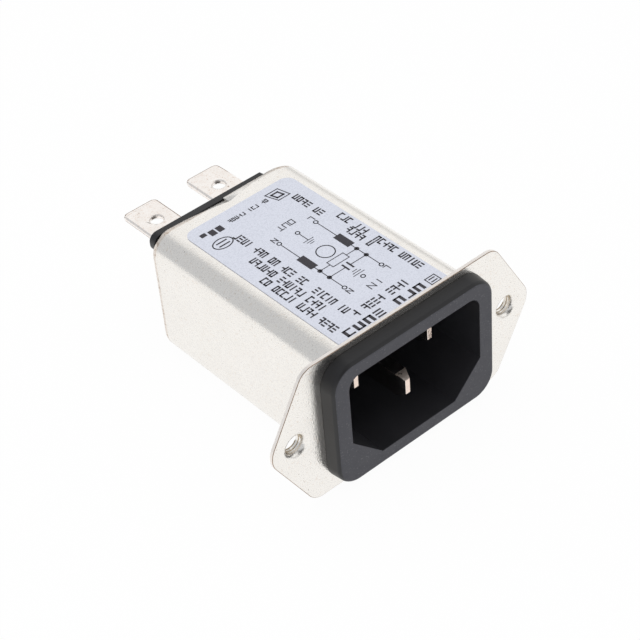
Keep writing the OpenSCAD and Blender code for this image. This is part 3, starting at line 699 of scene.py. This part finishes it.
def grow(name, tree, sizes, node=None, start=None):
    """Runs a tree with these sizes, on a mesh if one is given, and keeps its result as one plain piece."""
    piece = placed(name, start or bpy.data.meshes.new(name))
    modifier = piece.modifiers.new(name, "NODES")
    modifier.node_group = tree
    for item in tree.interface.items_tree:
        if item.in_out == "INPUT" and item.name in sizes:
            modifier[item.identifier] = sizes[item.name]
    settle(piece, name)
    for face in piece.data.polygons:
        face.use_smooth = start is None
    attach(piece, "root")
    if node:
        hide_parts(node)


# The shapes that marks are picked from, made of bars: (x, y) of a bar's middle and its size, in a unit box.
UPRIGHT, LEVEL = 0.34, 0.19
LEFT, RIGHT, MIDDLE = ((x, 0.0, UPRIGHT, 1.0) for x in (UPRIGHT / 2 - 0.5, 0.5 - UPRIGHT / 2, 0.0))
FOOT, TOP, WAIST = ((0.0, y, 1.0, LEVEL) for y in (LEVEL / 2 - 0.5, 0.5 - LEVEL / 2, 0.0))
MARKS = [
    (LEFT, RIGHT, FOOT, TOP),
    (MIDDLE,),
    (LEFT, RIGHT, FOOT),
    (LEFT, RIGHT, TOP),
    (RIGHT, TOP, FOOT),
    (LEFT, TOP),
    (LEFT, WAIST),
    (LEFT, FOOT, WAIST),
    (FOOT, TOP, WAIST),
]


def marks_tree():
    """A mark on each point, picked at random, with the point's own size and turn."""
    tree, size = new_tree("rows of marks", (), ("Seed",))
    choice = add(tree, "GeometryNodeJoinGeometry")
    for shape in MARKS:
        bars = add(tree, "GeometryNodeJoinGeometry")
        for x, y, width, height in shape:
            bar = add(tree, "GeometryNodeMeshCube", {"Size": (width, height, 1.0)})
            moved = add(tree, "GeometryNodeTransform", {"Geometry": bar, "Translation": (x, y, 0.0)})
            tree.links.new(moved.outputs[0], bars.inputs[0])
        mark = add(tree, "GeometryNodeGeometryToInstance", {0: bars})
        tree.links.new(mark.outputs[0], choice.inputs[0])
    limits = {4: 0, 5: len(MARKS) - 1, "Seed": size["Seed"]}
    drawn = add(tree, "FunctionNodeRandomValue", limits, data_type="INT").outputs[2]
    turn = add(tree, "GeometryNodeInputNamedAttribute", {"Name": "mark turn"}, data_type="FLOAT_VECTOR")
    scale = add(tree, "GeometryNodeInputNamedAttribute", {"Name": "mark size"}, data_type="FLOAT_VECTOR")
    pick = {"Instance": choice, "Pick Instance": True, "Instance Index": drawn}
    where = {"Points": size["Start mesh"], "Rotation": turn, "Scale": scale}
    marks = add(tree, "GeometryNodeInstanceOnPoints", pick | where)
    return close_tree(tree, marks, label_ink)


def thread_tree():
    """Thread crests in two bores side by side, each a wire along a helix about Y."""
    names = ("Bore radius", "Pitch", "Turns", "Start", "First bore", "Bore spacing", "Crest radius")
    tree, size = new_tree("thread crests", names)
    radii = {"Start Radius": size["Bore radius"], "End Radius": size["Bore radius"]}
    length = add(tree, "ShaderNodeMath", {0: size["Pitch"], 1: size["Turns"]}, operation="MULTIPLY")
    run = {"Resolution": 40, "Rotations": size["Turns"], "Height": length}
    helix = add(tree, "GeometryNodeCurveSpiral", radii | run)
    crest = add(tree, "GeometryNodeCurvePrimitiveCircle", {"Resolution": 8, "Radius": size["Crest radius"]})
    wire = add(tree, "GeometryNodeCurveToMesh", {"Curve": helix, "Profile Curve": crest, "Fill Caps": True})
    first = add(tree, "ShaderNodeCombineXYZ", {"X": size["First bore"], "Y": size["Start"]})
    step = add(tree, "ShaderNodeCombineXYZ", {"X": size["Bore spacing"]})
    bores = add(tree, "GeometryNodeMeshLine", {"Count": 2, "Start Location": first, "Offset": step})
    copies = {"Points": bores, "Instance": wire, "Rotation": (-math.pi / 2, 0, 0)}
    threads = add(tree, "GeometryNodeInstanceOnPoints", copies)
    return close_tree(tree, threads, cut_thread)


def winding_tree():
    """Turns of round wire over part of a ring core whose axis is Y, straight along the core's faces."""
    places = ("First place", "Last place", "Wound angle")
    radii = ("Inner radius", "Outer radius", "Front", "Rear", "Wire radius")
    tree, size = new_tree("turns on a ring core", places + radii, ("Steps",))
    run = add(tree, "GeometryNodeCurvePrimitiveLine", {"Start": (0, 0, 0), "End": (1, 0, 0)})
    points = add(tree, "GeometryNodeResampleCurve", {"Curve": run, "Count": size["Steps"]})
    along = add(tree, "GeometryNodeSplineParameter")
    wound = add(tree, "ShaderNodeMapRange", {"Value": along, "To Max": size["Wound angle"]})
    ends = {"To Min": size["First place"], "To Max": size["Last place"]}
    place = add(tree, "ShaderNodeMapRange", {"Value": along} | ends)
    corner = 1 / 1.3  # how far a turn swings before the wire lies along a face
    section = []
    for wave, near, far in (("COSINE", "Inner radius", "Outer radius"), ("SINE", "Front", "Rear")):
        swing = add(tree, "ShaderNodeMath", {0: wound}, operation=wave)
        stops = {"From Min": -corner, "From Max": corner, "To Min": size[near], "To Max": size[far]}
        section.append(add(tree, "ShaderNodeMapRange", {"Value": swing} | stops))
    spot = add(tree, "ShaderNodeCombineXYZ", {"X": section[0], "Y": section[1]})
    spot = add(tree, "ShaderNodeVectorRotate", {"Vector": spot, "Angle": place}, rotation_type="Y_AXIS")
    path = add(tree, "GeometryNodeSetPosition", {"Geometry": points, "Position": spot})
    wire = add(tree, "GeometryNodeCurvePrimitiveCircle", {"Resolution": 10, "Radius": size["Wire radius"]})
    turns = add(tree, "GeometryNodeCurveToMesh", {"Curve": path, "Profile Curve": wire, "Fill Caps": True})
    return close_tree(tree, turns, enamelled_copper)


def make_threads():
    """The screw thread in both of the flange's holes."""
    sizes = {
        "Bore radius": 1.47 * MM,
        "Pitch": 0.5 * MM,
        "Turns": 1.9,
        "Start": 0.25 * MM,
        "First bore": -SCREW_SPACING / 2 * MM,
        "Bore spacing": SCREW_SPACING * MM,
        "Crest radius": 0.09 * MM,
    }
    grow("screw_threads", thread_tree(), sizes)


def make_windings():
    """Both windings of the choke, as wire: nine turns each, over a little more than a third of the ring."""
    tree = winding_tree()
    low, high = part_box("choke_core")
    bore, wire = 4.0 * MM, 0.4 * MM  # radii of the core's bore and of the wire
    half = math.radians(62)
    sizes = {
        "Steps": 337,
        "Wound angle": 9 * 2 * math.pi,
        "Inner radius": bore - wire,
        "Outer radius": high.x + wire,
        "Front": low.y - wire,
        "Rear": high.y + wire,
        "Wire radius": wire,
    }
    for side, middle in (("line", 0.0), ("neutral", math.pi)):
        ends = {"First place": half - middle, "Last place": -half - middle}
        grow(side + "_wire_turns", tree, sizes | ends, side + "_winding")


bpy.context.scene.view_settings.view_transform = "Standard"
place_camera()
light_room()
lay_floor(cad_box[0].z)
hang_lamp("soft_overhead", (-60, 40, 330), 320, 0.5)

dress_parts()
draw_circuit()
draw_signs()
grow("data_marks_print", marks_tree(), {"Seed": 11}, start=mark_places())
make_threads()
make_windings()

# The CAD pieces that stay get the finishes of their slots.
for node in NODES.values():
    for seat in node.material_slots:
        if seat.material and seat.material.name in FINISHES:
            seat.material = FINISHES[seat.material.name]
